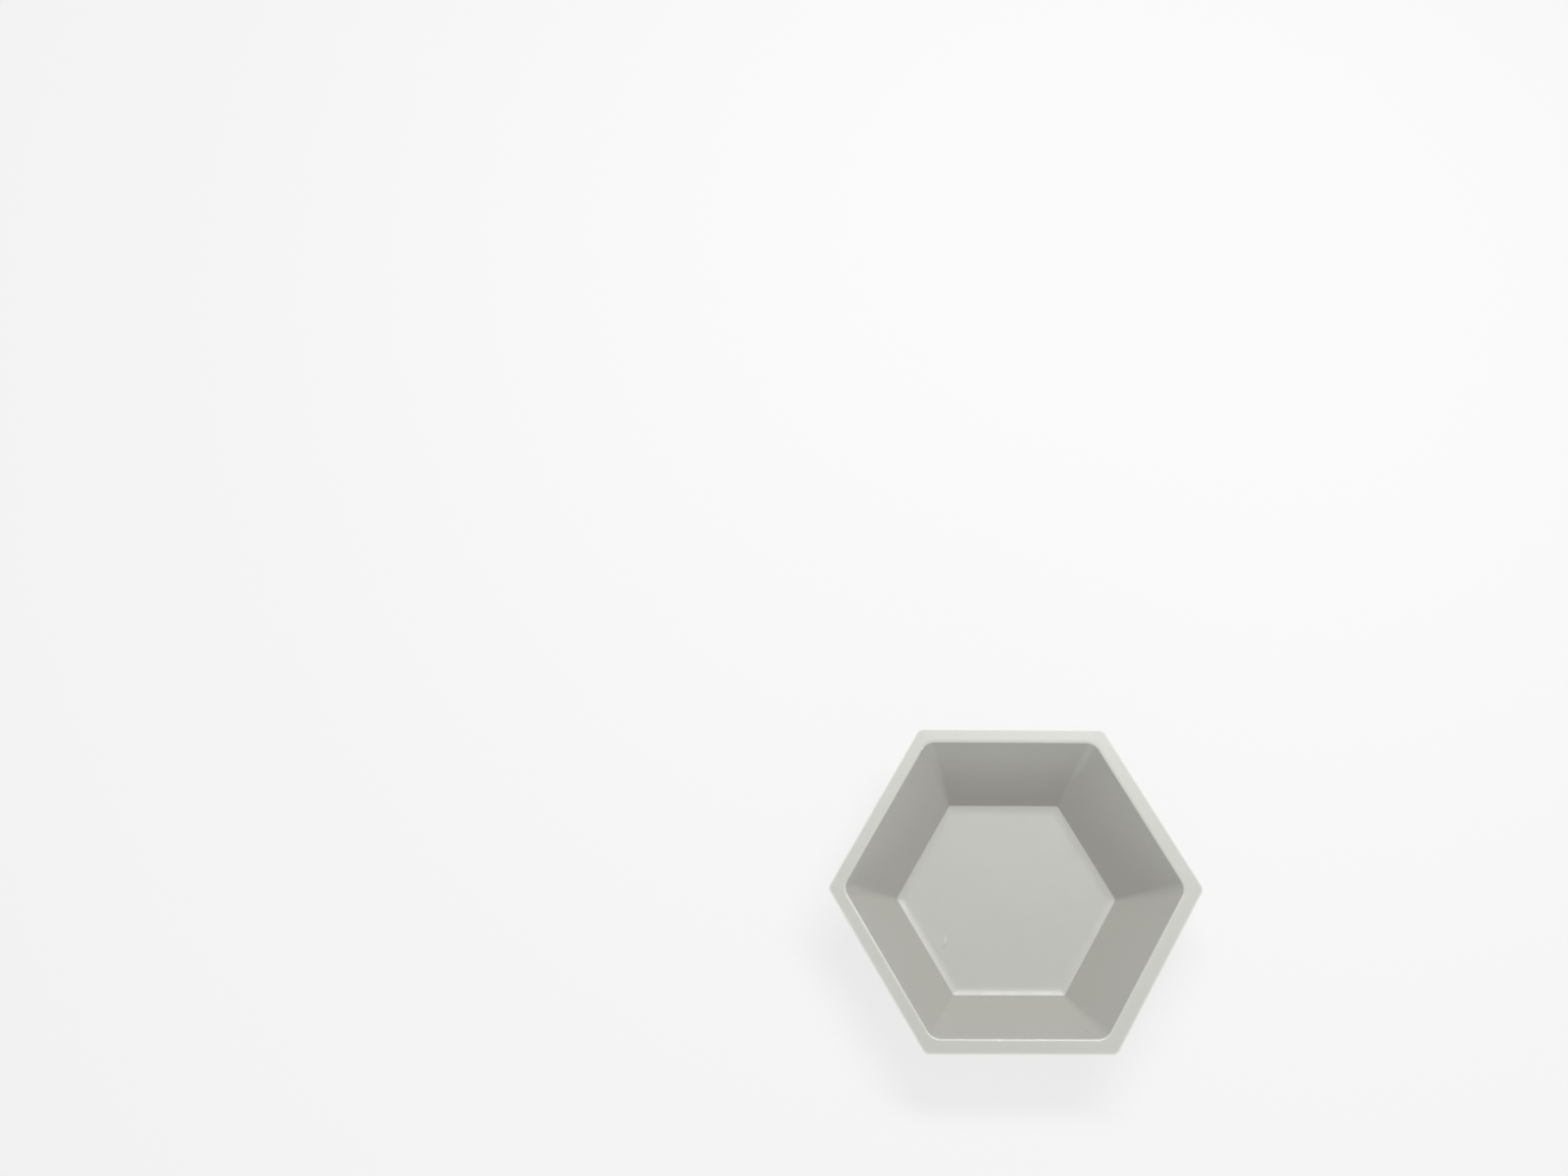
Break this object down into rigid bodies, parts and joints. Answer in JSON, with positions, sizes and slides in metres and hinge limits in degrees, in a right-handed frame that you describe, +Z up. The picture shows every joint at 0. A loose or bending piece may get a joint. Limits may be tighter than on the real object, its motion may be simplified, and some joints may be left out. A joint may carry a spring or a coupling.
{
  "type": "weighing boat",
  "caption": "Hexagonal weighing boat formed from thin white plastic sheet, with a flat base, sloping walls and a narrow flange round its open mouth.",
  "frame": {"origin": "on the surface that the boat stands on, below the middle of the flange's cut outline; the middle of the base is at X -0.3 mm, Y +0.15 mm, because the outline was cut a little off centre", "axes": "+Z up out of the mouth, +X towards a corner of the hexagon, +Y towards the middle of a flat"},
  "size_m": [0.0846, 0.0738, 0.0173],
  "materials": {
    "white_sheet": "satin, slightly translucent white polystyrene sheet"
  },
  "bodies": {
    "root": {"boat": "white_sheet"}
  },
  "joints": []
}
